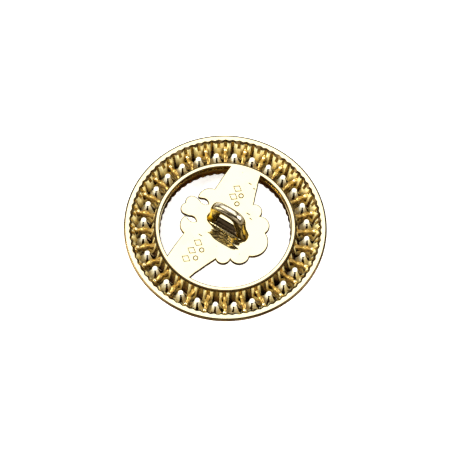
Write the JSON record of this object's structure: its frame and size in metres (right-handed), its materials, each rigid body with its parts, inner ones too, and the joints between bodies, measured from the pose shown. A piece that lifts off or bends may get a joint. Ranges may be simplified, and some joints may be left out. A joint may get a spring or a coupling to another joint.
{
  "type": "shank button",
  "caption": "Round openwork metal shank button: gold cast ring set with pointed stones, flat flower plate and a sewing loop.",
  "frame": {"origin": "centre of the button's box at the bottom, on the plane that its front face rests on", "axes": "+Z from the front face to the back, along the button's axis, with the sewing loop on top; the strap and the thread's way through the eye run along Y, and the loop's width along X"},
  "size_m": [0.025, 0.025, 0.0084],
  "materials": {
    "gold_plate": "polished pale gold plating over a zinc casting",
    "crystal_foil": "clear cut stone with a gold foil back",
    "shank_gold": "polished gold plating, a little darker than the plate"
  },
  "bodies": {
    "root": {"body_casting": "gold_plate", "crystal_01": "crystal_foil", "crystal_02": "crystal_foil", "crystal_03": "crystal_foil", "crystal_04": "crystal_foil", "crystal_05": "crystal_foil", "crystal_06": "crystal_foil", "crystal_07": "crystal_foil", "crystal_08": "crystal_foil", "crystal_09": "crystal_foil", "crystal_10": "crystal_foil", "crystal_11": "crystal_foil", "crystal_12": "crystal_foil", "crystal_13": "crystal_foil", "crystal_14": "crystal_foil", "crystal_15": "crystal_foil", "crystal_16": "crystal_foil", "crystal_17": "crystal_foil", "crystal_18": "crystal_foil", "crystal_19": "crystal_foil", "crystal_20": "crystal_foil", "crystal_21": "crystal_foil", "crystal_22": "crystal_foil", "crystal_23": "crystal_foil", "crystal_24": "crystal_foil", "crystal_25": "crystal_foil", "crystal_26": "crystal_foil", "crystal_27": "crystal_foil", "crystal_28": "crystal_foil", "shank_loop": "shank_gold"}
  },
  "joints": []
}
